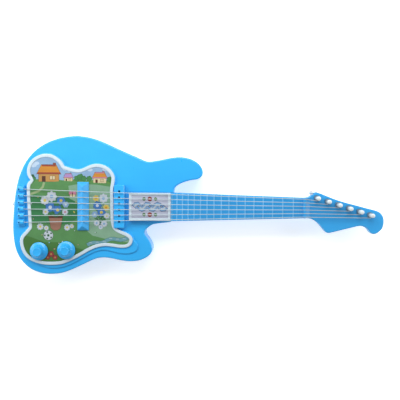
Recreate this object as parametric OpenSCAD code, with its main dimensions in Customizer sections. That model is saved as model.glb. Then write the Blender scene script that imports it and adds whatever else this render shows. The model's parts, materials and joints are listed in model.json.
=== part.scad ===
// Toy electric guitar lying on its back, face up.
// The origin is on the back plane, on the neck centreline, under the bridge ridge.
// +X runs along the neck to the headstock, +Y to the upper horn, +Z out of the face.

/* [Body] */
// Thickness of the body from its back to its face
body_h = 36; // [35:0.5:38]
// Height of the joint line between the back and front shells
split_z = 16; // [15:0.5:17]
// Wall thickness of the moulded shells
wall = 2.2; // [2:0.1:2.4]
// Height of the raised panel under the pickguard, above the face
panel_h = 2; // [1.6:0.1:2.4]

/* [Pickguard] */
// Width of the white rim
rim_w = 5; // [4.4:0.2:5.4]
// Height of the rim above the raised panel
rim_h = 2.6; // [2.2:0.1:2.8]

/* [Neck] */
// Distance from the bridge ridge to the nut
scale_length = 328; // [325:1:331]
// Height of the fretboard above the body face
board_rise = 6; // [5.6:0.1:6.2]
// Width of the fretboard where it leaves the body
board_w_heel = 43; // [42:0.2:43.6]
// Width of the fretboard at the nut
board_w_nut = 31; // [30.4:0.2:32]
// Number of frets
fret_count = 17; // [12:1:17]

/* [Strings and pegs] */
// Diameter of a string
string_d = 1; // [0.8:0.1:1]
// Radius of a tuning peg's shaft
peg_r = 3.15; // [3:0.05:3.2]
// Radial clearance of a turning shaft in its bore
run_gap = 0.05; // [0.03:0.01:0.08]
// Height of a tuning peg's post above the headstock face
post_h = 17; // [15:0.5:18]

/* [Knobs] */
// Radius of a control knob's flared skirt
skirt_r = 13.6; // [13:0.1:13.8]
// Height of a control knob
knob_h = 12; // [11:0.5:13]

/* [Hidden] */
$fn = 48;

// Colours
blue = "#1E9BF0";
deep_blue = "#1478DC";
white = "#F6F6F2";
print_green = "#7CBF4E";
print_grey = "#C9CDE0";
steel = "#B9BCC0";
string_white = "#EDEDE8";

// Heights
face_z = body_h;
panel_z = face_z + panel_h;
skin = 2.4;
plate_h = 1.5;
label_h = 0.3;
label_z = panel_z + plate_h;
rim_z = panel_z + rim_h;
board_z = face_z + board_rise;
heel_z = board_z - 20;
neck_split_z = board_z - 12;
head_z = board_z - 4;
head_back_z = head_z - 12;
nut_z = board_z + 3.2;
string_nut_z = board_z + 3.15;
bridge_z = face_z + 11.4;
string_bridge_z = bridge_z + 0.15;
saddle_z = face_z + 7.4;
string_saddle_z = saddle_z - 1.8;

// Outline of the body, clockwise from the lower side of the neck joint
BODY = [
    [131, -22.6], [124, -24], [115, -25], [103.5, -27], [97, -31], [92.5, -35], [91, -39],
    [92.4, -43.5], [96.3, -49], [100.5, -56], [102.4, -64], [99.8, -71.5], [92.6, -77.5], [82, -81.7],
    [68, -83], [54, -81.3], [40, -78.4], [27, -77.6], [15, -80.5], [-5, -90], [-20, -96.8],
    [-34, -101.5], [-50, -103], [-64, -101.5], [-77, -97], [-88, -89], [-97, -78], [-103, -64],
    [-106, -45], [-106.5, -25], [-104, 8], [-100, 32], [-95, 49], [-86, 67], [-73, 82],
    [-59, 92], [-46, 98], [-32, 102], [-14, 104.5], [2, 103.5], [17, 100], [32, 94.3],
    [54, 84.3], [77, 74.4], [87, 69.9], [93.5, 67.6], [98, 67.1], [104, 67.9], [115, 69.9],
    [128, 72.7], [141, 74.3],
    [152, 73.4], [163, 70], [172, 63.5], [177, 55], [176.5, 47], [170, 41.5], [160, 39.8],
    [150, 37], [141, 33], [136, 28.8], [134.5, 24]
];

// Outline of the pickguard, anticlockwise in three smooth runs that meet in corners
PICKGUARD_TOP = [
    [-28, 59.5], [-32, 66], [-38, 71.5], [-46, 76], [-57, 77.2], [-68, 74], [-77, 67.5],
    [-82, 59], [-83.5, 51], [-82, 43.5], [-78.5, 38]
];
PICKGUARD_LEFT = [
    [-78.5, 38], [-82.4, 33.5], [-83.8, 27.5], [-83.7, 15], [-82.7, -5], [-81.7, -22], [-81, -32]
];
PICKGUARD_REST = [
    [-81, -32], [-86.6, -38.5], [-92.5, -45.5], [-94.5, -53], [-93, -63], [-88, -73.5], [-79, -81.5],
    [-64, -87], [-48, -88.5], [-32, -87], [-19, -82], [-5, -75], [8, -67.3], [20, -62],
    [32, -59.7], [43.5, -60.5], [55, -62], [64, -61.5], [70.5, -58], [73.5, -52], [72.5, -45.5],
    [66, -40], [55.5, -35.5], [48.5, -30.5], [46, -21], [45.3, -6], [45.2, 9], [44.8, 24],
    [46.5, 36], [46.6, 44], [43.5, 51], [38, 57], [30, 61.3], [20, 63], [10, 61], [1, 57],
    [-7, 54.6], [-17, 56]
];

// Outline of the broad apron of the raised panel under the pickguard's lower lobe
APRON = [
    [66, -38], [74.5, -48.5], [80.5, -55], [81.5, -62.5], [77, -68.5], [67, -71.5], [54, -71],
    [40, -67.8], [31, -66.3], [21, -67.8], [9, -73], [-6, -81.5], [-26, -91], [-46, -94.2],
    [-62, -91], [-75, -85], [-60, -75], [0, -55], [40, -42]
];

// Outline of the headstock, clockwise in three smooth runs, from the upper side of the nut
HEAD_TOP = [[0, 15.4], [6, 16.2], [10.5, 18.6], [14.5, 22], [18.5, 24]];
HEAD_END = [
    [18.5, 24], [26, 21.6], [40, 16], [57.5, 10], [77, 5], [96, 0], [110, -3.7], [117, -8.5],
    [120, -15.5], [120, -23.5], [118, -30], [114, -34.4], [109, -37.8], [104, -38.4],
    [100, -36], [96, -31], [91, -27.6], [85, -26.6], [77, -28], [57.5, -33], [39.5, -37.5]
];
HEAD_LOW = [
    [39.5, -37.5], [35.5, -37.2], [31.5, -34], [27, -28.5], [22, -23], [16, -18.5], [9, -16],
    [0, -15.4]
];

// Places
BODY_SCREWS = [
    [-88, 41], [-52, 86], [14, 90], [78, 62], [152, 57], [88, -62], [34, -70], [-46, -95],
    [-97, -44]
];
NECK_JOINT_SCREWS = [[79, 13], [79, -13], [119, 13], [119, -13]];
NECK_SCREWS = [[150, 0], [226, 0], [302, 0]];
HEAD_SCREWS = [[27, -17], [68, -20], [109, -28]];
TAILPIECE_SCREWS = [[-90.5, 27.2], [-90.5, -27.2]];
BRIDGE_SCREWS = [[0, 19], [0, -19]];
PICKUP_SCREWS = [[54, 27.6], [54, -27.6]];
STAKES = [[-66, 60], [22, 53], [-84, -60], [28, -50], [60, -52]];
KNOBS = [[-65.5, -67.6], [-25, -65.9]];
stake_r = 1.5;
screw_r = 1.45;
screw_head_r = 3.1;
pilot_gap = 0.05;
through_gap = 0.15;
head_gap = 0.3;
boss_r = 4.2;
small_boss_r = 3.4;
string_pitch_tail = 9.85;
string_pitch_nut = 5.3;
tail_x = -94.6;
tail_min_x = -97.2;
tail_max_x = -87;
tail_half_w = 31;
pickup_x = 54;
pickup_half_l = 7.75;
pickup_half_w = 32.2;
bridge_half_w = 36;
heel_min_x = 68.5;
joint_x = 131;
badge_max_x = 130;
nut_l = 4;
peg_first = [scale_length + 19, 14.6];
peg_step = [15.9, -4.9];
post_z = head_z + post_h;
coil_gap = 0.05;
coil_pitch = string_d + coil_gap;
coil_turns = 3;
coil_z = head_z + 1.7;
peg_string_z = coil_z + (coil_turns - 1) * coil_pitch + string_d + 0.3;
peg_string_r = peg_r + coil_gap + string_d / 2 + 0.25;
strap_z = face_z - 11;
strap_y = 2;
strap_seat_x = -103.9;
head_strap_z = head_z - 4.2;
head_strap_xy = [scale_length + 12, 19.6];
head_strap_turn = 95;
strap_screw_r = 1.2;
shaft_r = 3;
knob_base_z = rim_z + 0.4;
knob_boss_z = face_z - 7;

// Open run of points with Catmull-Rom points added between them
curve_steps = 3;
function bend(a, b, c, d, t) =
    0.5 * (2 * b + (c - a) * t + (2 * a - 5 * b + 4 * c - d) * t * t
    + (3 * b - a - 3 * c + d) * t * t * t);
function at(points, i) = points[max(0, min(len(points) - 1, i))];
function smooth(points) = [
    for (i = [0:len(points) - 2])
        for (k = [0:curve_steps - 1])
            bend(at(points, i - 1), points[i], points[i + 1], at(points, i + 2), k / curve_steps)
];
function area(points) = let (n = len(points))
    [for (i = [0:n - 1]) cross(points[i], points[(i + 1) % n])] * [for (i = [0:n - 1]) 0.5];
function unit(v) = v / norm(v);
function outward(points, i, side) =
    let (n = len(points), way = unit(points[(i + 1) % n] - points[(i + n - 1) % n]))
    side * [way[1], -way[0]];
// Moves each point of a closed outline outward by d, or inward where d is negative
function grow(points, d) = let (side = sign(area(points)))
    [for (i = [0:len(points) - 1]) points[i] + d * outward(points, i, side)];
function shift(points, dx) = [for (p = points) [p[0] + dx, p[1]]];

body_outline = concat(smooth(BODY), [BODY[len(BODY) - 1]]);
pickguard_outline = concat(smooth(PICKGUARD_TOP), smooth(PICKGUARD_LEFT),
    smooth(concat(PICKGUARD_REST, [PICKGUARD_TOP[0]])));
head_outline = shift(concat(smooth(HEAD_TOP), smooth(HEAD_END), smooth(HEAD_LOW),
    [HEAD_LOW[len(HEAD_LOW) - 1]]), scale_length);

// Half the neck's width at x: even along the heel, then tapering to the nut
function board_half(x) = board_w_heel / 2
    - max(0, x - joint_x) * (board_w_heel - board_w_nut) / 2 / (scale_length - joint_x);
function board(x0, x1, inset) =
    let (xs = [for (x = [x0, joint_x, x1]) if (x >= x0 && x <= x1) x], last = len(xs) - 1)
    concat([for (x = xs) [x, board_half(x) - inset]],
        [for (k = [last:-1:0]) [xs[k], inset - board_half(xs[k])]]);
function peg_place(n) = peg_first + (n - 1) * peg_step;
function string_y(n, pitch) = (3.5 - n) * pitch;

module slab(points, z0, z1) {
    translate([0, 0, z0]) linear_extrude(z1 - z0) polygon(points);
}

module box(x0, x1, y0, y1, z0, z1) {
    translate([x0, y0, z0]) cube([x1 - x0, y1 - y0, z1 - z0]);
}

module pin(place, r, z0, z1) {
    translate([place[0], place[1], z0]) cylinder(r = r, h = z1 - z0);
}

// Screw that points up, with its head's underside at z and a cross recess
module screw(place, z, shank, r = screw_r, head_r = screw_head_r) {
    head_h = 1.6;
    slot_w = 0.8;
    slot_l = head_r * 1.2;
    translate([place[0], place[1], z]) difference() {
        union() {
            translate([0, 0, -head_h]) cylinder(r = head_r, h = head_h);
            translate([0, 0, -0.2]) cylinder(r = r, h = shank + 0.2);
            translate([0, 0, shank]) cylinder(r1 = r, r2 = 0.4, h = 1.5);
        }
        translate([-slot_l / 2, -slot_w / 2, -head_h - 0.1]) cube([slot_l, slot_w, 1.1]);
        translate([-slot_w / 2, -slot_l / 2, -head_h - 0.1]) cube([slot_w, slot_l, 1.1]);
    }
}

// Body: two shells, with a spigot on each back post that enters the front boss
head_sink = 6;
joint_sink = 4;
spigot_r = 2.9;
spigot_h = 1.5;

module body_back() {
    color(blue) difference() {
        union() {
            difference() {
                slab(body_outline, 0, split_z);
                slab(grow(body_outline, -wall), skin, split_z + 1);
            }
            for (p = BODY_SCREWS) {
                pin(p, boss_r, skin - 1, split_z);
                pin(p, spigot_r, split_z - 1, split_z + spigot_h);
            }
            for (p = NECK_JOINT_SCREWS) pin(p, boss_r, skin - 1, split_z);
        }
        for (p = BODY_SCREWS) {
            pin(p, screw_head_r + head_gap, -1, head_sink);
            pin(p, screw_r + through_gap, head_sink - 1, split_z + spigot_h + 1);
        }
        for (p = NECK_JOINT_SCREWS) {
            pin(p, screw_head_r + head_gap, -1, joint_sink);
            pin(p, screw_r + through_gap, joint_sink - 1, split_z + 1);
        }
    }
}

pocket_gap = 0.3;

module neck_pocket(extra, z0) {
    half = board_half(heel_min_x) + pocket_gap + extra;
    box(heel_min_x - pocket_gap - extra, joint_x + 20, -half, half, z0, board_z + 5);
}

module stop_pin(place) {
    pin([place[0] - 8, place[1]], 1.5, knob_boss_z - 2.4, face_z - 1);
}

module body_front() {
    strap_boss_r = 3.9;
    color(blue) difference() {
        union() {
            difference() {
                union() {
                    slab(body_outline, split_z, face_z);
                    slab(grow(pickguard_outline, 1.8), face_z - 1, panel_z);
                    slab(smooth(concat(APRON, [APRON[0]])), face_z - 1, panel_z);
                }
                difference() {
                    slab(grow(body_outline, -wall), split_z - 1, face_z - skin);
                    neck_pocket(wall, heel_z - wall);
                }
            }
            for (p = BODY_SCREWS) pin(p, boss_r, split_z, face_z - 1);
            for (p = NECK_JOINT_SCREWS) pin(p, boss_r, split_z, heel_z - 0.5);
            for (p = KNOBS) {
                pin(p, shaft_r + 2.4, knob_boss_z, face_z - 1);
                stop_pin(p);
            }
            translate([strap_seat_x + 0.5, strap_y, strap_z]) rotate([0, 90, 0])
                cylinder(r = strap_boss_r, h = 13);
        }
        neck_pocket(0, heel_z);
        for (p = BODY_SCREWS) {
            pin(p, screw_r + pilot_gap, split_z - 1, split_z + 13);
            pin(p, spigot_r + 0.1, split_z - 1, split_z + spigot_h + 0.1);
        }
        for (p = NECK_JOINT_SCREWS) pin(p, screw_r + through_gap, split_z - 1, heel_z + 1);
        for (p = KNOBS) pin(p, shaft_r + run_gap, knob_boss_z - 1, panel_z + 1);
        for (p = STAKES) pin(p, stake_r + 0.05, face_z - 5, panel_z + 1);
        for (p = concat(TAILPIECE_SCREWS, BRIDGE_SCREWS, PICKUP_SCREWS))
            pin(p, screw_r + through_gap, face_z - 5, panel_z + 1);
        translate([strap_seat_x - 6, strap_y, strap_z]) rotate([0, 90, 0])
            cylinder(r = 4.1, h = 6);
        translate([strap_seat_x - 6, strap_y, strap_z]) rotate([0, 90, 0])
            cylinder(r = strap_screw_r + pilot_gap, h = 17);
        pickup_seat();
        tailpiece_seat();
    }
}

// Level seats in the raised panel for the pickup and the tailpiece
module pickup_seat() {
    box(pickup_x - pickup_half_l - 0.2, pickup_x + pickup_half_l + 0.2,
        -pickup_half_w - 0.2, pickup_half_w + 0.2, face_z, rim_z + 1);
}

module tailpiece_seat() {
    box(tail_min_x - 0.2, tail_max_x + 0.2, -tail_half_w - 0.2, tail_half_w + 0.2,
        face_z, rim_z + 1);
}

module body_screws() {
    color(steel) for (p = BODY_SCREWS) screw(p, head_sink, split_z + 10.5 - head_sink);
}

module neck_joint_screws() {
    color(steel) for (p = NECK_JOINT_SCREWS) screw(p, joint_sink, heel_z + 10.4 - joint_sink);
}

// Pickguard with a raised rim, a printed label and heat-staked pins
module pickguard() {
    color(white) difference() {
        union() {
            slab(pickguard_outline, panel_z, rim_z);
            for (p = STAKES) pin(p, stake_r, face_z - skin - 0.6, panel_z + 0.5);
        }
        slab(grow(pickguard_outline, -rim_w), label_z, rim_z + 1);
        for (p = KNOBS) pin(p, shaft_r + 0.4, panel_z - 1, rim_z);
        for (p = BRIDGE_SCREWS) pin(p, screw_r + through_gap, panel_z - 1, rim_z);
        pickup_seat();
        tailpiece_seat();
    }
}

module pickguard_label() {
    color(print_green) difference() {
        slab(grow(pickguard_outline, -rim_w - 0.15), label_z, label_z + label_h);
        for (p = KNOBS) pin(p, shaft_r + 0.6, label_z - 1, rim_z);
        for (p = BRIDGE_SCREWS) pin(p, screw_r + 0.3, label_z - 1, rim_z);
        pickup_seat();
    }
}

// Bridge, pickup and tailpiece
saddle_r = 4.4;
bead_r = 1.4;
bead_hole_r = 1.2;
tunnel_r = string_d / 2 + 0.5;

module tailpiece() {
    base_top = face_z + 3;
    color(blue) difference() {
        union() {
            box(tail_min_x, tail_max_x, -tail_half_w, tail_half_w, face_z, base_top);
            for (n = [1:6]) intersection() {
                translate([tail_min_x + 0.6, string_y(n, string_pitch_tail), saddle_z - saddle_r])
                    rotate([0, 90, 0]) cylinder(r = saddle_r, h = tail_max_x - tail_min_x - 1.2);
                box(tail_min_x, tail_max_x, -tail_half_w, tail_half_w, base_top - 1, saddle_z + 1);
            }
        }
        for (n = [1:6]) {
            pin([tail_x, string_y(n, string_pitch_tail)], bead_hole_r, face_z, saddle_z + 1);
            pin([tail_x, string_y(n, string_pitch_tail)], bead_r + 0.2, face_z - 1, base_top);
            translate([tail_x, string_y(n, string_pitch_tail), string_saddle_z])
                rotate([0, 90, 0]) cylinder(r = tunnel_r, h = tail_max_x - tail_x + 1, $fn = 32);
        }
        for (p = TAILPIECE_SCREWS) pin(p, screw_r + pilot_gap, face_z - 1, face_z + 4.6);
    }
}

module tailpiece_screws() {
    color(steel) for (p = TAILPIECE_SCREWS) screw(p, face_z - skin, skin + 2.6);
}

module bridge_bar() {
    half_l = 8.5;
    ridge = 0.9;
    hip = 6.5;
    shell = 2;
    base_z = label_z + label_h;
    color(blue) difference() {
        union() {
            difference() {
                hull() {
                    box(-half_l, half_l, -bridge_half_w, bridge_half_w, base_z, base_z + 1.4);
                    box(-ridge, ridge, hip - bridge_half_w, bridge_half_w - hip,
                        bridge_z - 0.2, bridge_z);
                }
                hull() {
                    box(shell - half_l, half_l - shell, shell - bridge_half_w,
                        bridge_half_w - shell, base_z - 0.2, base_z + 0.4);
                    box(-0.3, 0.3, hip + 1 - bridge_half_w, bridge_half_w - hip - 1,
                        bridge_z - shell - 0.8, bridge_z - shell - 0.6);
                }
            }
            for (p = BRIDGE_SCREWS) pin(p, small_boss_r, base_z, bridge_z - 3);
        }
        for (p = BRIDGE_SCREWS) pin(p, screw_r + pilot_gap, base_z - 1, bridge_z - 2.6);
        for (n = [1:6]) translate([-3, string_y(n, bridge_pitch), string_bridge_z])
            rotate([0, 90, 0]) cylinder(r = string_d / 2 + 0.12, h = 6, $fn = 32);
    }
}

bridge_pitch = string_pitch_tail + (string_pitch_nut - string_pitch_tail)
    * (0 - tail_x) / (scale_length - tail_x);

module bridge_screws() {
    color(steel) for (p = BRIDGE_SCREWS) screw(p, face_z - skin, label_z + 3.4 - face_z + skin);
}

module pickup_cover() {
    chamfer = 1.2;
    top_z = face_z + 8.4;
    color(blue) difference() {
        union() {
            difference() {
                hull() {
                    box(pickup_x - pickup_half_l, pickup_x + pickup_half_l,
                        -pickup_half_w, pickup_half_w, face_z, top_z - chamfer);
                    box(pickup_x - pickup_half_l + chamfer, pickup_x + pickup_half_l - chamfer,
                        chamfer - pickup_half_w, pickup_half_w - chamfer, face_z, top_z);
                }
                box(pickup_x - pickup_half_l + 2, pickup_x + pickup_half_l - 2,
                    2 - pickup_half_w, pickup_half_w - 2, face_z - 1, top_z - 2);
            }
            for (p = PICKUP_SCREWS) pin(p, small_boss_r, face_z, top_z - 1);
        }
        for (p = PICKUP_SCREWS) pin(p, screw_r + pilot_gap, face_z - 1, top_z - 1.6);
        for (n = [1:6]) pin([pickup_x, string_y(n, 9)], 1.7, top_z - 4, top_z + 1);
    }
}

module pickup_screws() {
    color(steel) for (p = PICKUP_SCREWS) screw(p, face_z - skin, skin + 4.6);
}

// Control knobs with a flared skirt and a shaft that turns in the front shell
groove_r = 2.4;
clip_h = 0.8;
clip_z = knob_boss_z - 0.35 - clip_h;

module knob(place) {
    top_z = knob_base_z + knob_h;
    shaft_end = clip_z - 2;
    color(blue) translate([place[0], place[1], 0]) rotate_extrude() polygon([
        [0, shaft_end], [shaft_r - 0.6, shaft_end], [shaft_r, shaft_end + 0.6],
        [shaft_r, clip_z - 0.05], [groove_r, clip_z - 0.05],
        [groove_r, clip_z + clip_h + 0.05], [shaft_r, clip_z + clip_h + 0.05],
        [shaft_r, knob_base_z], [skirt_r - 0.4, knob_base_z], [skirt_r, knob_base_z + 0.5],
        [skirt_r - 0.2, knob_base_z + 1.4], [11.4, knob_base_z + 2.5],
        [9.4, knob_base_z + 4], [8.1, knob_base_z + 6], [7.4, knob_base_z + 8.4],
        [7, top_z - 1], [6.2, top_z - 0.2], [5.4, top_z], [0, top_z]
    ]);
}

// Spring clip on a knob's shaft, with a lug that meets the stop pin
module knob_clip(place) {
    ring_r = 5;
    lug_half = 2.2;
    color(steel) translate([place[0], place[1], clip_z]) difference() {
        union() {
            cylinder(r = ring_r, h = clip_h);
            translate([0, -lug_half, 0]) cube([9.3, lug_half * 2, clip_h]);
        }
        translate([0, 0, -1]) cylinder(r = groove_r + 0.05, h = clip_h + 2);
        translate([-ring_r - 1, -groove_r + 0.3, -1]) cube([ring_r + 1, groove_r * 2 - 0.6, clip_h + 2]);
    }
}

// Strap buttons, each held by a screw down its axis
module strap_button() {
    color(white) rotate_extrude() polygon([
        [1.6, 0], [3, 0], [2.7, 1], [2.7, 1.6], [3.75, 2.4], [3.75, 3.2], [3.3, 4],
        [2.8, 4.3], [2.8, 3.6], [1.6, 3.2]
    ]);
}

module strap_screw() {
    screw([0, 0], 0, 13, strap_screw_r, 2.6);
}

module strap_button_body() {
    translate([strap_seat_x, strap_y, strap_z]) rotate([0, -90, 0]) strap_button();
}

module strap_button_head() {
    translate([head_strap_xy[0], head_strap_xy[1], head_strap_z])
        rotate([0, 0, head_strap_turn]) rotate([0, 90, 0]) strap_button();
}

module strap_screws() {
    color(steel) {
        translate([strap_seat_x - 3.65, strap_y, strap_z]) rotate([0, 90, 0]) strap_screw();
        translate([head_strap_xy[0], head_strap_xy[1], head_strap_z])
            rotate([0, 0, head_strap_turn]) translate([3.65, 0, 0]) rotate([0, -90, 0]) strap_screw();
    }
}

// Neck: a front half with the fretboard and headstock face, and a rounded back half
function head_screw(p) = [p[0] + scale_length, p[1]];

module neck_front() {
    fret_r = 0.9;
    nut_min = scale_length - nut_l / 2;
    nut_half = board_half(scale_length);
    slope_l = 7;
    color(deep_blue) difference() {
        union() {
            difference() {
                union() {
                    slab(board(heel_min_x, scale_length + nut_l / 2, 0), neck_split_z, board_z);
                    slab(head_outline, neck_split_z, head_z);
                    box(nut_min, nut_min + nut_l, -nut_half, nut_half, board_z - 1, nut_z);
                    translate([scale_length + nut_l / 2, 14.6, 0]) rotate([90, 0, 0])
                        linear_extrude(29.2) polygon([
                            [-1, head_z - 1], [-1, board_z - 0.3], [0, board_z - 0.3],
                            [slope_l, head_z + 0.2], [slope_l, head_z - 1]
                        ]);
                    for (n = [1:fret_count]) {
                        half = board_half(fret_place(n)) - 0.4;
                        translate([fret_place(n), half, board_z - 0.2]) rotate([90, 0, 0])
                            cylinder(r = fret_r, h = half * 2, $fn = 32);
                    }
                }
                slab(board(heel_min_x + wall, scale_length - 8, wall), neck_split_z - 1,
                    board_z - wall);
                difference() {
                    slab(grow(head_outline, -wall), neck_split_z - 1, head_z - wall);
                    box(scale_length - 10, scale_length + 8, -30, 30, 0, board_z);
                    for (n = [1:6]) pin(peg_place(n), 6, neck_split_z - 2, board_z);
                }
            }
            for (p = NECK_JOINT_SCREWS) pin(p, boss_r, neck_split_z, board_z - 1);
            for (p = NECK_SCREWS) pin(p, small_boss_r, neck_split_z, board_z - 1);
            for (p = HEAD_SCREWS) pin(head_screw(p), small_boss_r, neck_split_z, head_z - 1);
            translate([head_strap_xy[0], head_strap_xy[1], head_strap_z])
                rotate([0, 0, head_strap_turn]) rotate([0, -90, 0]) cylinder(r = 3.4, h = 13);
        }
        for (n = [1:6]) {
            pin(peg_place(n), peg_r + run_gap, neck_split_z - 1, head_z + 1);
            pin(peg_place(n), 4.6, head_z - 1.5, head_z + 1);
            translate([nut_min - 1, string_y(n, string_pitch_nut), string_nut_z])
                rotate([0, 90, 0]) cylinder(r = string_d / 2 + 0.12, h = nut_l + 2, $fn = 32);
        }
        for (p = NECK_JOINT_SCREWS) pin(p, screw_r + pilot_gap, neck_split_z - 1, neck_split_z + 4);
        for (p = NECK_SCREWS) pin(p, screw_r + pilot_gap, neck_split_z - 1, neck_split_z + 8.4);
        for (p = HEAD_SCREWS)
            pin(head_screw(p), screw_r + pilot_gap, neck_split_z - 1, neck_split_z + 6);
        translate([head_strap_xy[0], head_strap_xy[1], head_strap_z])
            rotate([0, 0, head_strap_turn]) translate([5, 0, 0]) rotate([0, -90, 0]) {
                cylinder(r = 4.1, h = 5);
                cylinder(r = strap_screw_r + pilot_gap, h = 17);
            }
    }
}

fret_first_gap = 16.4;
fret_ratio = 0.954;
function fret_place(n) = scale_length
    - fret_first_gap * (1 - pow(fret_ratio, n)) / (1 - fret_ratio);

// Half-round cross-section of the neck's back, at x
module neck_section(x, inset, depth) {
    half = board_half(x) - inset;
    translate([x, 0, neck_split_z]) rotate([90, 0, 90]) linear_extrude(0.5)
        polygon([for (k = [0:16]) [-half * cos(180 * k / 16), -depth * sin(180 * k / 16)]]);
}

module neck_back() {
    heel_depth = neck_split_z - heel_z;
    nut_depth = heel_depth - 2;
    head_depth = neck_split_z - head_back_z;
    screw_sink = 1.8;
    color(deep_blue) difference() {
        union() {
            difference() {
                union() {
                    slab(board(heel_min_x, joint_x - 1, 0), heel_z, neck_split_z);
                    hull() {
                        neck_section(joint_x - 3, 0.2, heel_depth);
                        neck_section(scale_length - 6, 0.2, nut_depth);
                    }
                    hull() {
                        neck_section(scale_length - 6, 0.2, nut_depth);
                        neck_section(scale_length + 12, 1.2, head_depth - 0.3);
                    }
                    slab(head_outline, head_back_z, neck_split_z);
                }
                slab(board(heel_min_x + wall, joint_x - 6, wall), heel_z + skin, neck_split_z + 1);
                hull() {
                    neck_section(joint_x - 2, wall + 0.2, heel_depth - wall);
                    neck_section(scale_length - 12, wall + 0.2, nut_depth - wall);
                }
            }
            for (p = NECK_JOINT_SCREWS) pin(p, boss_r, heel_z, neck_split_z);
            for (p = NECK_SCREWS) pin(p, small_boss_r + 0.6, heel_z + 2.2, neck_split_z);
        }
        for (n = [1:6]) pin(peg_place(n), peg_r + run_gap, head_back_z - 1, neck_split_z + 1);
        for (p = NECK_JOINT_SCREWS) pin(p, screw_r + through_gap, heel_z - 1, neck_split_z + 1);
        for (p = NECK_SCREWS) {
            pin(p, screw_r + through_gap, heel_z - 1, neck_split_z + 1);
            pin(p, screw_head_r + head_gap, heel_z - 1, heel_z + 3);
        }
        for (p = HEAD_SCREWS) {
            pin(head_screw(p), screw_r + through_gap, head_back_z - 1, neck_split_z + 1);
            pin(head_screw(p), screw_head_r + head_gap, head_back_z - 1, head_back_z + screw_sink);
        }
    }
}

module neck_screws() {
    color(steel) {
        for (p = NECK_SCREWS) screw(p, heel_z + 3, neck_split_z - heel_z + 2.5);
        for (p = HEAD_SCREWS) screw(head_screw(p), head_back_z + 1.8, 6);
    }
}

// Badge plate on the heel of the neck
badge_border = 3.6;
badge_edge = 0.9;
badge_floor = 1.2;
badge_h = 2.2;

module badge_frame() {
    color(white) difference() {
        slab(board(heel_min_x, badge_max_x, badge_edge), board_z, board_z + badge_h);
        slab(board(heel_min_x + badge_border, badge_max_x - badge_border, badge_edge + badge_border),
            board_z + badge_floor, board_z + badge_h + 1);
    }
}

module badge_label() {
    inset = badge_border + 0.15;
    color(print_grey) slab(board(heel_min_x + inset, badge_max_x - inset, badge_edge + inset),
        board_z + badge_floor, board_z + badge_floor + label_h);
}

// Tuning pegs: a post, a shoulder behind the headstock and a wing to turn
wing_l = 15;
wing_w = 4;
wing_h = 15;

function stadium(l, w) = [
    for (k = [-8:8]) [l / 2 - w / 2 + w / 2 * cos(k * 90 / 8), w / 2 * sin(k * 90 / 8)],
    for (k = [-8:8]) [w / 2 - l / 2 - w / 2 * cos(k * 90 / 8), -w / 2 * sin(k * 90 / 8)]
];

module peg(n) {
    shoulder_z = head_back_z - 0.3;
    groove_z = head_z - 1.25;
    color(white) translate([peg_place(n)[0], peg_place(n)[1], 0]) difference() {
        union() {
            rotate_extrude() polygon([
                [0, shoulder_z - 3], [4.6, shoulder_z - 3], [5.4, shoulder_z - 1.4],
                [5.4, shoulder_z], [peg_r, shoulder_z], [peg_r, groove_z], [2.4, groove_z],
                [2.4, groove_z + 0.9], [peg_r, groove_z + 0.9], [peg_r, post_z - 2.2],
                for (k = [1:5]) [peg_r * cos(k * 18), post_z - 2.2 + 2.2 * sin(k * 18)]
            ]);
            translate([0, 0, shoulder_z - 2.5 - wing_h]) linear_extrude(wing_h)
                polygon(stadium(wing_l, wing_w));
        }
        translate([-5, 0, coil_z + coil_turns * coil_pitch]) rotate([0, 90, 0])
            cylinder(r = 0.7, h = 10, $fn = 32);
    }
}

module peg_clip(n) {
    ring_r = 4.2;
    color(steel) translate([peg_place(n)[0], peg_place(n)[1], head_z - 1.2]) difference() {
        cylinder(r = ring_r, h = 0.8);
        translate([0, 0, -1]) cylinder(r = 2.45, h = 3);
        translate([-ring_r - 1, -2, -1]) cube([ring_r + 1, 4, 3]);
    }
}

// Turns of a string wound round a peg's post
module string_coil(n) {
    color(string_white) for (k = [0:coil_turns - 1])
        translate([peg_place(n)[0], peg_place(n)[1], coil_z + k * coil_pitch])
            rotate_extrude() translate([peg_r + coil_gap + string_d / 2, 0])
                circle(d = string_d, $fn = 24);
}

// Taut string: up from its bead, out through its saddle, over the bridge and the nut, and on to its peg
string_sides = 12;
saddle_bend = 1.2;

function string_path(n) =
    let (
        tail_y = string_y(n, string_pitch_tail),
        ridge_y = string_y(n, bridge_pitch),
        nut_y = string_y(n, string_pitch_nut),
        peg = peg_place(n)
    )
    concat(
        [[tail_x, tail_y, face_z + 1.6], [tail_x, tail_y, string_saddle_z - saddle_bend - 0.6]],
        [for (a = [180:-22.5:100]) [
            tail_x + saddle_bend + saddle_bend * cos(a), tail_y,
            string_saddle_z - saddle_bend + saddle_bend * sin(a)
        ]],
        [[tail_max_x - 0.8, tail_y, string_saddle_z + 0.02]],
        [[-0.6, ridge_y, string_bridge_z], [0.6, ridge_y, string_bridge_z]],
        [[scale_length - 1, nut_y, string_nut_z], [scale_length + 1, nut_y, string_nut_z]],
        [[peg[0], peg[1] - peg_string_r, peg_string_z]]
    );

function way(path, i) = unit(path[min(i + 1, len(path) - 1)] - path[max(i - 1, 0)]);
function ring(path, i, r) =
    let (t = way(path, i), side = unit([0, 1, 0] - t * t[1]), up = cross(t, side))
    [for (k = [0:string_sides - 1])
        path[i] + r * (cos(360 * k / string_sides) * side + sin(360 * k / string_sides) * up)];

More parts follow.
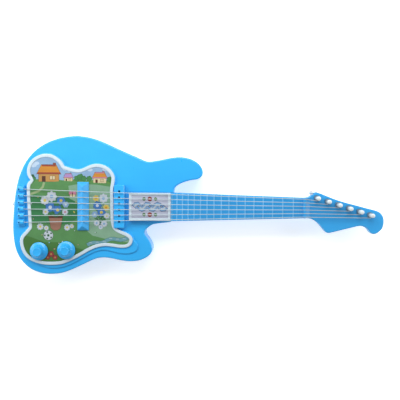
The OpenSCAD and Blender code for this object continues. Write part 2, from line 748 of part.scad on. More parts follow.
module sweep(path, r) {
    n = len(path);
    s = string_sides;
    polyhedron(
        points = [for (i = [0:n - 1]) each ring(path, i, r)],
        faces = concat(
            [[for (k = [0:s - 1]) k]],
            [[for (k = [0:s - 1]) (n - 1) * s + s - 1 - k]],
            [for (i = [0:n - 2]) for (k = [0:s - 1])
                [i * s + (k + 1) % s, i * s + k, (i + 1) * s + k]],
            [for (i = [0:n - 2]) for (k = [0:s - 1])
                [i * s + (k + 1) % s, (i + 1) * s + k, (i + 1) * s + (k + 1) % s]]
        )
    );
}

module guitar_string(n) {
    color(string_white) {
        sweep(string_path(n), string_d / 2);
        pin([tail_x, string_y(n, string_pitch_tail)], bead_r, face_z + 0.3, face_z + 2.5);
    }
}

body_front();
body_back();
body_screws();
neck_joint_screws();
pickguard();
pickguard_label();
tailpiece();
tailpiece_screws();
bridge_bar();
bridge_screws();
pickup_cover();
pickup_screws();
knob(KNOBS[0]);  // knob_1
knob(KNOBS[1]);  // knob_2
knob_clip(KNOBS[0]);  // knob_clip_1
knob_clip(KNOBS[1]);  // knob_clip_2
strap_button_body();
strap_button_head();
strap_screws();
neck_front();
neck_back();
neck_screws();
badge_frame();
badge_label();
peg(1);  // peg_1
peg(2);  // peg_2
peg(3);  // peg_3
peg(4);  // peg_4
peg(5);  // peg_5
peg(6);  // peg_6
peg_clip(1);  // peg_clip_1
peg_clip(2);  // peg_clip_2
peg_clip(3);  // peg_clip_3
peg_clip(4);  // peg_clip_4
peg_clip(5);  // peg_clip_5
peg_clip(6);  // peg_clip_6
string_coil(1);  // string_coil_1
string_coil(2);  // string_coil_2
string_coil(3);  // string_coil_3
string_coil(4);  // string_coil_4
string_coil(5);  // string_coil_5
string_coil(6);  // string_coil_6
guitar_string(1);  // string_1
guitar_string(2);  // string_2
guitar_string(3);  // string_3
guitar_string(4);  // string_4
guitar_string(5);  // string_5
guitar_string(6);  // string_6
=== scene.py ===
"""Looks of a toy electric guitar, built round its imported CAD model. Metres, in the CAD's own frame."""

import json
import math
import random

import bmesh
import bpy
import numpy as np
from mathutils import Matrix, Vector, geometry


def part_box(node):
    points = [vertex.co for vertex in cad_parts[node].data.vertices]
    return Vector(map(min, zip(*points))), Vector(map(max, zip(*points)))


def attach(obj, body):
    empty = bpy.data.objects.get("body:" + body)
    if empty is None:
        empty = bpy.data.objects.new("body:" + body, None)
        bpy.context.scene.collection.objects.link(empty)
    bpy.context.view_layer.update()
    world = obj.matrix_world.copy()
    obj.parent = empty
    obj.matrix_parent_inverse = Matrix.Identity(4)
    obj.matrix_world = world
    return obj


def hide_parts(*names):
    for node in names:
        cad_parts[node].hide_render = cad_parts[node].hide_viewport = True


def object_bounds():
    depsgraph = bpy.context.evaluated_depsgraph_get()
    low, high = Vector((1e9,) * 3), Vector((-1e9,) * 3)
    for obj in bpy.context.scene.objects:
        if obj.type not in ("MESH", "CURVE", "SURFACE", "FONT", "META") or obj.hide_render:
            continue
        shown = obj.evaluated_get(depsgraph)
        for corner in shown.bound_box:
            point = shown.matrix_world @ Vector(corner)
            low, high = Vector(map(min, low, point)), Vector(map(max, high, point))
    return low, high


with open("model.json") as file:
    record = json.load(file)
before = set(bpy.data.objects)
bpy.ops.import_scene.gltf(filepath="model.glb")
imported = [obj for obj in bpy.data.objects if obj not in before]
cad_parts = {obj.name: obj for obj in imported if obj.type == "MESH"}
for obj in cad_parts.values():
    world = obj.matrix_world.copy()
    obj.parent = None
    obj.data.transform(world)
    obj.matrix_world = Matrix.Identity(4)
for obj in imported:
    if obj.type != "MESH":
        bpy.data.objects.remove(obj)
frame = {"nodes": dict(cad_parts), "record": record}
CAD_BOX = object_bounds()

MM = 0.001
NODES = frame["nodes"]
RECORD = frame["record"]
BODY_OF = {node: body for body, nodes in RECORD["behaviour"]["bodies"].items() for node in nodes}
SIX = range(1, 7)

# Levels and sizes that several pieces share
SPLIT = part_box("body_front")[0].z
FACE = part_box("tailpiece")[0].z
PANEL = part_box("body_front")[1].z
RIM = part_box("pickguard")[1].z
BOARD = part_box("badge_frame")[0].z
NECK_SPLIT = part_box("neck_front")[0].z
HEAD = BOARD - 4 * MM
PEG_R = 3.15 * MM
HAIR = 0.14 * MM  # how far a smooth outer skin stays inside the CAD's outer wall
SKIM = 0.03 * MM  # the same for a level face


# ---------------------------------------------------------------- mesh tools


def link(name, data):
    piece = bpy.data.objects.new(name, data)
    bpy.context.scene.collection.objects.link(piece)
    return piece


def shade(data, smooth_deg):
    """Smooth shading, with an edge sharp where its faces turn by more than smooth_deg."""
    if "custom_normal" in data.attributes:
        data.attributes.remove(data.attributes["custom_normal"])
    data.shade_smooth()
    data.set_sharp_from_angle(angle=math.radians(smooth_deg))


def mesh_object(name, bm, smooth_deg=32):
    """A new object made from bm, which is used up."""
    bmesh.ops.recalc_face_normals(bm, faces=bm.faces)
    data = bpy.data.meshes.new(name)
    bm.to_mesh(data)
    bm.free()
    shade(data, smooth_deg)
    return link(name, data)


def welded(node):
    """A CAD node's mesh with its split corners joined."""
    bm = bmesh.new()
    bm.from_mesh(NODES[node].data)
    bmesh.ops.remove_doubles(bm, verts=bm.verts, dist=1e-6)
    bm.verts.index_update()
    bm.verts.ensure_lookup_table()
    return bm


def signed_area(loop):
    return 0.5 * sum(a.x * b.y - b.x * a.y for a, b in zip(loop, loop[1:] + loop[:1]))


def anticlockwise(loop):
    return loop if signed_area(loop) > 0 else loop[::-1]


def outlines(node, z):
    """Loops in which the node's level faces at height z meet its walls, the largest first."""
    bm = welded(node)
    links = {}
    for e in bm.edges:
        if any(abs(v.co.z - z) > 2e-5 for v in e.verts) or len(e.link_faces) != 2:
            continue
        level = [abs(f.normal.z) > 0.95 for f in e.link_faces]
        if level[0] != level[1]:
            a, b = (v.index for v in e.verts)
            links.setdefault(a, []).append(b)
            links.setdefault(b, []).append(a)
    loops = []
    while links:
        here = next(iter(links))
        walk = []
        while here is not None:
            walk.append(here)
            ways = links.pop(here)
            here = next((n for n in ways if n in links), None)
        loop = [bm.verts[n].co.xy.copy() for n in walk]
        if len(loop) > 2:
            loops.append(anticlockwise(loop))
    bm.free()
    return sorted(loops, key=signed_area, reverse=True)


def turn_at(loop, i):
    """Turn of the outline at point i, in degrees."""
    u = loop[i] - loop[i - 1]
    v = loop[(i + 1) % len(loop)] - loop[i]
    return math.degrees(math.atan2(u.x * v.y - u.y * v.x, u.dot(v)))


def uneven(loop, i, ratio=3):
    """Whether the outline's two edges at point i differ greatly in length."""
    u = (loop[i] - loop[i - 1]).length
    v = (loop[(i + 1) % len(loop)] - loop[i]).length
    return max(u, v) > ratio * min(u, v)


def dense(loop, steps=3, corner=24):
    """The outline with Catmull-Rom points between its own, keeping its corners."""
    n = len(loop)
    sharp = [abs(turn_at(loop, i)) > corner or uneven(loop, i) for i in range(n)]
    out = []
    for i in range(n):
        b, c = loop[i], loop[(i + 1) % n]
        a = 2 * b - c if sharp[i] else loop[i - 1]
        d = 2 * c - b if sharp[(i + 1) % n] else loop[(i + 2) % n]
        for k in range(steps):
            t = k / steps
            curve = 2 * b + (c - a) * t + (2 * a - 5 * b + 4 * c - d) * t**2
            out.append(0.5 * (curve + (3 * b - a - 3 * c + d) * t**3))
    return out


def nearness(points, loop):
    """Distance of each point from the closed outline."""
    p = np.array(points)[:, None, :]
    a = np.array(loop)[None, :, :]
    b = np.roll(a, -1, axis=1)
    along = ((p - a) * (b - a)).sum(2) / np.maximum(((b - a) ** 2).sum(2), 1e-18)
    foot = a + np.clip(along, 0, 1)[:, :, None] * (b - a)
    return np.sqrt(((p - foot) ** 2).sum(2)).min(1)


def inset(loop, d):
    """The outline moved inward by d, or outward where d is negative, with as many points."""
    if not d:
        return list(loop)
    out = []
    for i, p in enumerate(loop):
        u = (p - loop[i - 1]).normalized()
        v = (loop[(i + 1) % len(loop)] - p).normalized()
        way = (u + v).normalized()
        stretch = 1 / max(0.6, u.dot(way))
        out.append(p + Vector((-way.y, way.x)) * d * stretch)
    # Points that crossed over at a tight corner are spread between their good neighbours
    n = len(out)
    good = nearness(out, loop) > 0.98 * abs(d)
    if good.all() or not good.any():
        return out
    first = int(np.argmax(good))
    i = first
    while i < first + n:
        j = i + 1
        while not good[j % n]:
            j += 1
        for k in range(i + 1, j):
            out[k % n] = out[i % n].lerp(out[j % n], (k - i) / (j - i))
        i = j
    return out


def rounded_rectangle(x0, x1, y0, y1, r, steps=5):
    """An anticlockwise rectangle with round corners."""
    centres = ((x1 - r, y1 - r), (x0 + r, y1 - r), (x0 + r, y0 + r), (x1 - r, y0 + r))
    out = []
    for quarter, (x, y) in enumerate(centres):
        for k in range(steps + 1):
            a = math.radians(90 * quarter + 90 * k / steps)
            out.append(Vector((x + r * math.cos(a), y + r * math.sin(a))))
    return out


def loft(name, rings, smooth_deg=32):
    """A closed skin over rings of equal length; each ring is a list of 3D points."""
    bm = bmesh.new()
    rows = [[bm.verts.new(p) for p in ring] for ring in rings]
    n = len(rings[0])
    for low, high in zip(rows, rows[1:]):
        for k in range(n):
            bm.faces.new((low[k], low[(k + 1) % n], high[(k + 1) % n], high[k]))
    bm.faces.new(rows[0][::-1])
    bm.faces.new(rows[-1])
    return mesh_object(name, bm, smooth_deg)


def slab(loop, z0, z1, low_r=0.0, high_r=0.0, steps=6):
    """An upright slab over an outline, with its lower and upper edges rounded."""

    def edge(z, r, way):
        if not r:
            return [[Vector((p.x, p.y, z)) for p in loop]]
        rings = []
        for k in range(steps + 1):
            a = math.pi / 2 * k / steps
            ring = inset(loop, r * (1 - math.sin(a)))
            rings.append([Vector((p.x, p.y, z + way * r * (1 - math.cos(a)))) for p in ring])
        return rings

    return loft("slab", edge(z0, low_r, 1) + edge(z1, high_r, -1)[::-1])


def block(lo, hi):
    """A plain box, used only as a tool."""
    corners = ((lo[0], lo[1]), (hi[0], lo[1]), (hi[0], hi[1]), (lo[0], hi[1]))
    return slab([Vector(p) for p in corners], lo[2], hi[2])


def combine(piece, tool, operation):
    """Boolean of the piece with a tool, which is used up."""
    m = piece.modifiers.new("shape", "BOOLEAN")
    m.operation = operation
    m.object = tool
    m.solver = "MANIFOLD"
    dg = bpy.context.evaluated_depsgraph_get()
    data = bpy.data.meshes.new_from_object(piece.evaluated_get(dg))
    piece.modifiers.clear()
    piece.data = data
    bpy.data.objects.remove(tool)
    return piece


def united(parts):
    """The boolean union of several pieces."""
    whole = parts[0]
    for part in parts[1:]:
        combine(whole, part, "UNION")
    return whole


def weighted(piece):
    """Shading that follows the piece's larger faces."""
    m = piece.modifiers.new("normals", "WEIGHTED_NORMAL")
    m.keep_sharp = True
    return piece


def clean(piece, smooth_deg=32):
    """Joins the stray doubles that a boolean leaves, and shades the piece again."""
    bm = bmesh.new()
    bm.from_mesh(piece.data)
    bmesh.ops.remove_doubles(bm, verts=bm.verts, dist=2e-6)
    bmesh.ops.dissolve_degenerate(bm, dist=1e-6, edges=bm.edges)
    loose = [v for v in bm.verts if not v.link_faces]
    bmesh.ops.delete(bm, geom=loose, context="VERTS")
    bm.to_mesh(piece.data)
    bm.free()
    shade(piece.data, smooth_deg)
    return weighted(piece)


def copy_of(node, name, skin=None, smooth_deg=32):
    """The node's own shape as a new object, cut back to a smooth outer skin if there is one."""
    piece = mesh_object(name, welded(node), smooth_deg)
    if skin:
        combine(piece, skin, "INTERSECT")
    return clean(piece, smooth_deg)


def soften(piece, width, segments=2, angle=35):
    """A small rounding on every sharp edge."""
    m = piece.modifiers.new("soft_edge", "BEVEL")
    m.width = width
    m.segments = segments
    m.limit_method = "ANGLE"
    m.angle_limit = math.radians(angle)
    return piece


def lathe(name, profile, place=(0, 0, 0), segments=96, axis=(0, 0, 1), ripple=None, smooth_deg=32):
    """A turned shape from (radius, height) pairs; ripple(angle, height) scales the radius."""
    bm = bmesh.new()
    rows = []
    for r, h in profile:
        ring = []
        for k in range(segments if r > 1e-7 else 1):
            a = 2 * math.pi * k / segments
            wide = r * (ripple(a, h) if ripple else 1)
            ring.append(bm.verts.new((wide * math.cos(a), wide * math.sin(a), h)))
        rows.append(ring)
    for low, high in zip(rows, rows[1:]):
        for k in range(segments):
            j = (k + 1) % segments
            corners = (low[k % len(low)], low[j % len(low)], high[j % len(high)], high[k % len(high)])
            corners = list(dict.fromkeys(corners))
            if len(corners) > 2:
                bm.faces.new(corners)
    if len(rows[0]) > 1 and profile[0] != profile[-1]:
        bm.faces.new(rows[0][::-1])
    bm.transform(Matrix.Translation(place) @ Vector(axis).to_track_quat("Z", "Y").to_matrix().to_4x4())
    bmesh.ops.remove_doubles(bm, verts=bm.verts, dist=1e-7)
    return mesh_object(name, bm, smooth_deg)


def rounded(profile, r, steps=4):
    """A (radius, height) profile with its inner corners rounded by up to r."""
    pts = [Vector(p) for p in profile]
    out = [pts[0]]
    for a, b, c in zip(pts, pts[1:], pts[2:]):
        cut = min(r, (b - a).length * 0.45, (c - b).length * 0.45)
        start = b + (a - b).normalized() * cut
        end = b + (c - b).normalized() * cut
        for k in range(steps + 1):
            t = k / steps
            out.append((1 - t) ** 2 * start + 2 * t * (1 - t) * b + t * t * end)
    out.append(pts[-1])
    return [tuple(p) for p in out]


def tube(name, path, r, sides=14):
    """A round tube along a path that never runs straight up."""
    rings = []
    for i, p in enumerate(path):
        way = (path[min(i + 1, len(path) - 1)] - path[max(i - 1, 0)]).normalized()
        side = way.cross(Vector((0, 0, 1))).normalized()
        up = side.cross(way)
        rings.append([
            p + r * (math.cos(a) * side + math.sin(a) * up)
            for a in (2 * math.pi * k / sides for k in range(sides))
        ])
    return loft(name, rings, 60)


def stand_for(piece, node, *materials):
    """The piece takes a CAD node's place and body, and gets its materials."""
    piece.data.materials.clear()
    for m in materials:
        piece.data.materials.append(m)
    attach(piece, BODY_OF[node])
    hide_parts(node)
    return piece


def axis_of(node):
    """Centre of a round node's box, seen from above."""
    lo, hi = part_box(node)
    return ((lo + hi) / 2).xy


# ---------------------------------------------------------------- materials


def linear(colour):
    """A hex colour as the linear values that shaders take."""
    parts = [int(colour[k : k + 2], 16) / 255 for k in (1, 3, 5)]
    return tuple(p / 12.92 if p <= 0.04045 else ((p + 0.055) / 1.055) ** 2.4 for p in parts)


def times(colour, k):
    return tuple(min(1, c * k) for c in colour)


class Surface:
    """A node-built material: patterns in the object's own space feed one Principled shader."""

    def __init__(self, name, **sockets):
        self.material = bpy.data.materials.new(name)
        self.material.use_nodes = True
        self.tree = self.material.node_tree
        self.shader = self.tree.nodes["Principled BSDF"]
        for key, value in sockets.items():
            self.shader.inputs[key.replace("_", " ")].default_value = value
        self.coords = self.tree.nodes.new("ShaderNodeTexCoord").outputs["Object"]

    def node(self, kind, inputs, **settings):
        """A new node; each input is a value or another node's output."""
        made = self.tree.nodes.new(kind)
        for key, value in settings.items():
            setattr(made, key, value)
        for key, value in inputs.items():
            if isinstance(value, bpy.types.NodeSocket):
                self.tree.links.new(value, made.inputs[key])
            else:
                made.inputs[key].default_value = value
        return made

    def noise(self, per_metre, detail=3, rough=0.55, stretch=(1, 1, 1)):
        place = self.node("ShaderNodeMapping", {"Vector": self.coords, "Scale": stretch})
        inputs = {"Vector": place.outputs[0], "Scale": per_metre, "Detail": detail, "Roughness": rough}
        return self.node("ShaderNodeTexNoise", inputs).outputs["Fac"]

    def ramp(self, source, stops):
        made = self.node("ShaderNodeValToRGB", {"Fac": source})
        elements = made.color_ramp.elements
        while len(elements) < len(stops):
            elements.new(0.5)
        for element, (place, colour) in zip(elements, stops):
            element.position = place
            element.color = (*colour, 1)
        return made.outputs["Color"]

    def spread(self, source, low, high, start=0.3, end=0.7):
        """Maps start..end of the source to low..high."""
        inputs = {"Value": source, "From Min": start, "From Max": end, "To Min": low, "To Max": high}
        return self.node("ShaderNodeMapRange", inputs).outputs["Result"]

    def feed(self, socket, source):
        self.tree.links.new(source, self.shader.inputs[socket])

    def bump(self, *layers):
        """Each layer is (height source, strength, distance in metres)."""
        last = {}
        for source, strength, distance in layers:
            inputs = {"Height": source, "Strength": strength, "Distance": distance, **last}
            last = {"Normal": self.node("ShaderNodeBump", inputs).outputs["Normal"]}
        self.feed("Normal", last["Normal"])


def moulded_plastic(name, hex_colour, rough=0.3, coat=0.3, variation=0.06):
    """Injection-moulded gloss plastic: faint flow marks, orange peel and handling scuffs."""
    base = linear(hex_colour)
    s = Surface(name, Roughness=rough, Coat_Weight=coat, Coat_Roughness=0.14, IOR=1.49)
    flow = s.noise(14, 4, 0.6, (0.5, 1.2, 1))
    stops = [(0.3, times(base, 1 - variation)), (0.5, base), (0.72, times(base, 1 + variation))]
    s.feed("Base Color", s.ramp(flow, stops))
    scuffs = s.noise(160, 6, 0.7, (1, 0.35, 1))
    s.feed("Roughness", s.spread(scuffs, rough - 0.03, rough + 0.05))
    s.bump((s.noise(900, 2), 0.25, 0.04 * MM), (s.noise(60, 2), 0.2, 0.05 * MM))
    return s.material


def grained_plastic(name, hex_colour):
    """Satin plastic with a fine, even mould grain."""
    base = linear(hex_colour)
    s = Surface(name, Roughness=0.42, Coat_Weight=0.15, Coat_Roughness=0.25, IOR=1.49)
    s.feed("Base Color", s.ramp(s.noise(40, 4), [(0.3, times(base, 0.93)), (0.7, times(base, 1.06))]))
    s.feed("Roughness", s.spread(s.noise(500, 3), 0.36, 0.5))
    s.bump((s.noise(2200, 2), 0.55, 0.06 * MM), (s.noise(700, 3), 0.25, 0.05 * MM))
    return s.material


def brushed_steel(name, hex_colour, rough=0.32):
    """Steel with fine drawn lines and a little tarnish."""
    base = linear(hex_colour)
    s = Surface(name, Metallic=1.0, Roughness=rough)
    lines = s.noise(700, 5, 0.7, (0.15, 1, 1))
    s.feed("Base Color", s.ramp(s.noise(180, 4), [(0.3, times(base, 0.8)), (0.7, times(base, 1.05))]))
    s.feed("Roughness", s.spread(lines, rough - 0.08, rough + 0.14))
    s.bump((lines, 0.3, 0.03 * MM))
    return s.material


def nylon(name, hex_colour):
    """Drawn nylon with faint streaks along its length."""
    base = linear(hex_colour)
    s = Surface(name, Roughness=0.28, Coat_Weight=0.2, IOR=1.53)
    s.feed("Base Color", s.ramp(s.noise(120, 3, 0.5, (0.3, 1, 1)), [(0.3, times(base, 0.9)), (0.7, base)]))
    s.feed("Roughness", s.spread(s.noise(900, 3), 0.22, 0.38))
    s.bump((s.noise(1500, 2, 0.5, (0.2, 1, 1)), 0.2, 0.02 * MM))
    return s.material


def printed_film(name):
    """Printed film: inks from the sheet's own colours, with soft mottling and a fine print grain."""
    s = Surface(name, Roughness=0.36, Coat_Weight=0.25, Coat_Roughness=0.12)
    ink = s.node("ShaderNodeVertexColor", {}, layer_name="ink").outputs["Color"]
    mottle = s.ramp(s.noise(60, 5, 0.65), [(0.3, (0.86,) * 3), (0.7, (1.0,) * 3)])
    grain = s.ramp(s.noise(1300, 2), [(0.35, (0.93,) * 3), (0.65, (1.0,) * 3)])
    for layer in (mottle, grain):
        inputs = {"Fac": 1.0, "Color1": ink, "Color2": layer}
        ink = s.node("ShaderNodeMixRGB", inputs, blend_type="MULTIPLY").outputs["Color"]
    s.feed("Base Color", ink)
    s.feed("Roughness", s.spread(s.noise(300, 3), 0.3, 0.42))
    s.bump((s.noise(1800, 2), 0.15, 0.02 * MM), (s.noise(45, 2), 0.12, 0.06 * MM))
    return s.material


BLUE = moulded_plastic("body_blue_plastic", "#2CADF2")
NECK_BLUE = moulded_plastic("neck_blue_plastic", "#32A3E6")
# Lighter blue on the fret crowns is a painted highlight where light catches their tops; the frets are the
# neck's own plastic
FRET_HIGHLIGHT_BLUE = moulded_plastic("fret_crown_painted_highlight", "#6FC3F4", rough=0.2, coat=0.5)
TRIM_BLUE = grained_plastic("trim_blue_plastic", "#38ABF0")
WHITE = moulded_plastic("white_gloss_plastic", "#C8D8E2", rough=0.26, coat=0.3, variation=0.02)
PEG_WHITE = moulded_plastic("peg_ivory_plastic", "#DDE4E4", rough=0.25, coat=0.4, variation=0.03)
STEEL = brushed_steel("screw_steel", "#B9BCC0")
CLIP = brushed_steel("clip_steel", "#9EA2A8", 0.38)
STRING = nylon("string_nylon", "#B9C8CC")
# Darker blue-grey for the windings is painted shade at the foot of each post; they are the same nylon as
# the strings
SHADED_WINDING_STRING = nylon("winding_nylon_painted_shade", "#6C8AA2")
FILM = printed_film("printed_film")


# ---------------------------------------------------------------- body shells


def body_shells():
    """Hollow shells with rounded outer edges, and the raised panel on the front one."""
    edge_front, edge_back, edge_panel = 2.2 * MM, 6 * MM, 1.9 * MM
    lap, panel_root = 4 * MM, 3 * MM
    outer = inset(dense(outlines("body_back", 0)[0]), HAIR)
    back_skin = slab(outer, SKIM, SPLIT + lap, low_r=edge_back)
    stand_for(copy_of("body_back", "back_shell", back_skin), "body_back", BLUE)

    panel = inset(dense(outlines("body_front", PANEL)[0], 2), HAIR)
    front_skin = united([
        slab(outer, SPLIT - lap, FACE - SKIM, high_r=edge_front),
        slab(panel, FACE - panel_root, PANEL - SKIM, high_r=edge_panel),
    ])
    stand_for(copy_of("body_front", "front_shell", front_skin), "body_front", BLUE)


# ---------------------------------------------------------------- pickguard


def pickguard():
    """White plate with a rounded rim that flares a little on its inner side."""
    outer_r, inner_r, plate_foot = 1.2 * MM, 0.9 * MM, 5 * MM
    label_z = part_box("pickguard_label")[0].z
    outer = dense(outlines("pickguard", PANEL)[0], 3)
    inner = dense(outlines("pickguard", RIM)[1], 3)
    skin = united([
        slab(inset(outer, HAIR), PANEL, RIM - SKIM, high_r=outer_r),
        slab(inset(outer, plate_foot), FACE - plate_foot, label_z - 0.5 * MM),
    ])
    steps = 6
    rings = [[Vector((p.x, p.y, label_z)) for p in inset(inner, 0.02 * MM)]]
    for k in range(steps + 1):
        a = math.pi / 2 * k / steps
        flare = inset(inner, -inner_r * (1 - math.cos(a)))
        rings.append([Vector((p.x, p.y, RIM - inner_r + inner_r * math.sin(a))) for p in flare])
    rings.append([Vector((p.x, p.y, RIM + MM)) for p in inset(inner, -inner_r)])
    combine(skin, loft("flare", rings), "DIFFERENCE")
    stand_for(copy_of("pickguard", "pickguard_plate", skin), "pickguard", WHITE)


# ---------------------------------------------------------------- printed films

INK = {
    "sky": "#8BAED0", "cloud": "#B6CCE2", "hill": "#5B8C44", "path": "#93A77A", "brook": "#6699A4",
    "meadow": "#548A50", "pale_meadow": "#7FA68A", "deep_meadow": "#2F7846", "low_meadow": "#427534",
    "leaf": "#3F7F45", "dark_leaf": "#2B5A38", "white": "#BFC9D1", "shade_white": "#8C99A6",
    "blue": "#3C76B8", "deep_blue": "#2C4A80", "pale_blue": "#7FA5CC", "lilac": "#AA8CC4",
    "yellow": "#CDB955", "orange": "#C8862F", "ochre": "#B88A4A", "cream": "#D3C39A", "rose": "#BE7A92",
    "red": "#93383A", "brick": "#94402E", "clay": "#9A6F5C", "brown": "#54301F", "line": "#34463A",
    "badge": "#BBC0D4",
}


class Picture:
    """Flat shapes in mm, painted one over another."""

    def __init__(self):
        self.shapes = []

    def fill(self, ink, points, line=None, line_w=0.45):
        """A shape with an outline of another ink if line names one."""
        loop = anticlockwise([Vector(p) for p in points])
        if line:
            self.shapes.append((inset(loop, -line_w), line))
        self.shapes.append((loop, ink))

    def bloom(self, ink, x, y, r, petals=0, depth=0.22, sides=36, squash=1.0, line=None, line_w=0.45):
        """A disc, or a rosette with that many petals."""
        points = []
        for k in range(sides):
            a = 2 * math.pi * (k + 0.35) / sides
            wide = r * (1 - depth * (0.5 - 0.5 * math.cos(petals * a)))
            points.append((x + wide * math.cos(a), y + squash * wide * math.sin(a)))
        self.fill(ink, points, line, line_w)

    def band(self, ink, path, half_w, line=None, line_w=0.45):
        """A strip of even width along a path."""
        pts = [Vector(p) for p in path]
        left, right = [], []
        for i, p in enumerate(pts):
            way = (pts[min(i + 1, len(pts) - 1)] - pts[max(i - 1, 0)]).normalized()
            left.append(p + half_w * Vector((-way.y, way.x)))
            right.append(p - half_w * Vector((-way.y, way.x)))
        self.fill(ink, left + right[::-1], line, line_w)

    def leaf(self, ink, x, y, length, angle, wide=0.32, line=None):
        """A pointed leaf from its root, towards an angle in degrees."""
        a = math.radians(angle)
        way, side = Vector((math.cos(a), math.sin(a))), Vector((-math.sin(a), math.cos(a)))
        steps = 7
        upper = [(k / steps, wide * math.sin(math.pi * k / steps) / 2) for k in range(steps + 1)]
        lower = [(t, -w) for t, w in upper[1:-1]]
        root = Vector((x, y))
        edge = [root + length * (t * way + w * side) for t, w in upper + lower[::-1]]
        self.fill(ink, edge, line, 0.3)


def cottage(pic, x, y, w, h, wall, roof, trim):
    """A gabled cottage with a tiled roof, seen from its long side. x and y are its lower left corner."""

    def shape(ink, corners, line=None):
        """Corners are shares of the cottage's width and height."""
        pic.fill(ink, [(x + u * w, y + v * h) for u, v in corners], line)

    def oblong(ink, left, right, low, high, line=None):
        shape(ink, ((left, low), (right, low), (right, high), (left, high)), line)

    eave = 0.45
    oblong(trim, 0.72, 0.84, eave, 1.1, "line")
    oblong(wall, 0, 1, 0, eave, "line")
    shape(roof, ((-0.1, eave), (1.1, eave), (0.86, 1), (0.14, 1)), "line")
    shape(trim, ((-0.1, eave), (1.1, eave), (1.07, eave + 0.1), (-0.07, eave + 0.1)))
    shape(trim, ((0.15, 0.9), (0.85, 0.9), (0.84, 1), (0.16, 1)))
    oblong("brown", 0.16, 0.34, 0, 0.33)
    oblong("cream", 0.56, 0.8, 0.13, 0.33, "brown")
    oblong("brown", 0.67, 0.69, 0.13, 0.33)


def flower(pic, x, y, r, petal, heart, petals=7, root=None):
    """A bloom with a heart, and a stem with two leaves down to its root."""
    if root:
        pic.band("dark_leaf", [(x, y), ((x + root[0]) / 2 + 1, (y + root[1]) / 2), root], 0.6)
        for angle, share in ((150, 0.45), (30, 0.65)):
            at = Vector((x, y)).lerp(Vector(root), share)
            pic.leaf("leaf", at.x, at.y, 1.1 * r, angle, line="dark_leaf")
    pic.bloom(petal, x, y, r, petals, line="deep_blue" if petal == "blue" else "shade_white")
    pic.bloom(heart, x, y, 0.34 * r)


def land(pic):
    """Clouds, a far hill with bushes and cottages, and a meadow with darker and paler parts."""
    clouds = [(-74, 60, 5), (-69, 63, 4), (-26, 55, 4), (-20, 53, 3.5)]
    for x, y, r in clouds + [(10, 54, 4), (33, 55, 4.5), (39, 52, 3.5)]:
        pic.bloom("cloud", x, y, r, squash=0.6)
    far = [(-90, 38), (-72, 39), (-50, 41), (-30, 38), (-12, 40), (6, 38.5), (24, 40), (44, 37), (60, 34)]
    pic.fill("hill", far + [(60, -90), (-90, -90)])
    pic.bloom("dark_leaf", -76, 41, 6, 5, 0.2)
    pic.bloom("leaf", -74, 39, 4, 5, 0.2)
    for x, y, r in ((-9, 41, 4.5), (-4, 43, 5), (1, 41, 4), (9, 41, 4), (39, 40, 4), (43, 38, 4)):
        pic.bloom("leaf", x, y, r, 5, 0.2, line="dark_leaf")
    cottage(pic, -66, 36, 30, 25, "ochre", "orange", "brick")
    cottage(pic, -28, 37, 12, 11, "cream", "lilac", "rose")
    cottage(pic, 15, 34.5, 19, 16, "cream", "orange", "rose")
    near = [(-90, 33), (-70, 36), (-50, 35), (-30, 37.5), (-8, 36.5), (12, 35), (30, 34.5), (50, 31)]
    pic.fill("meadow", near + [(50, -90), (-90, -90)])
    pale = [(-22, 30), (-6, 33), (20, 32), (48, 28), (48, -10), (80, -36), (80, -62), (10, -58), (-6, -24)]
    pic.fill("pale_meadow", pale + [(-20, 12)])
    deep = [(-90, 14), (-70, 17), (-48, 13), (-22, 12), (-6, 4), (-4, -14), (-20, -26), (-50, -30)]
    pic.fill("deep_meadow", deep + [(-90, -26)])
    fore = [(-90, -24), (-60, -26), (-30, -28), (-12, -24), (0, -32), (14, -44), (40, -50), (76, -55)]
    pic.fill("meadow", fore + [(76, -90), (-90, -90)])
    low = [(-100, -40), (-80, -46), (-58, -54), (-34, -54), (-12, -62), (6, -66)]
    pic.fill("low_meadow", low + [(10, -90), (-100, -90)])
    pic.band("path", [(-58, 35), (-60, 28), (-66, 22), (-76, 18), (-90, 16)], 1.6)
    brook = [(6 + 5 * k, -58 + 10 * math.sin(k * 0.13) + 1.6 * math.sin(k * 1.1)) for k in range(14)]
    pic.band("brook", brook, 2.6, "dark_leaf", 0.4)
    for x, y in brook[1:12:2]:
        pic.band("white", [(x - 2.2, y + 0.5), (x, y + 1), (x + 2.2, y + 0.4)], 0.28)


def left_bunch(pic):
    """Flowers in a clay pot, with daisies at its foot."""
    pic.fill("clay", [(-51, -17), (-31, -17), (-34, -33), (-38, -36), (-44, -36), (-48, -33)], "brown")
    pic.fill("brown", [(-52, -15), (-30, -15), (-30.5, -18), (-51.5, -18)])
    flowers = (
        (-57, 8, 6.5, "white", "yellow", 8),
        (-47, 14, 8, "white", "pale_blue", 8),
        (-33, 8, 6.5, "blue", "yellow", 7),
        (-49, -2, 7.5, "blue", "white", 7),
        (-38, -6, 7, "blue", "yellow", 6),
        (-26, 2, 4.5, "pale_blue", "white", 6),
        (-56, -9, 4.5, "white", "yellow", 7),
        (-27, -9, 4.5, "white", "rose", 7),
    )
    for args in flowers:
        flower(pic, *args, root=(-41, -17))
    for x, y, r in ((-64, -31, 5), (-55, -33, 3.6), (-24, -32, 4.6), (-17, -30, 3.2)):
        flower(pic, x, y, r, "white", "yellow", 9)


def butterfly(pic, x, y):
    """Upper and lower wings on both sides of a body. x and y are between the upper wings."""
    for side in (-1, 1):
        pic.bloom("rose", x + side * 2.6, y, 2.8, squash=1.2, line="brown", line_w=0.3)
        pic.bloom("cream", x + side * 2, y - 3.4, 1.9, line="brown", line_w=0.3)
    pic.bloom("brown", x, y - 1.4, 0.7, squash=4)


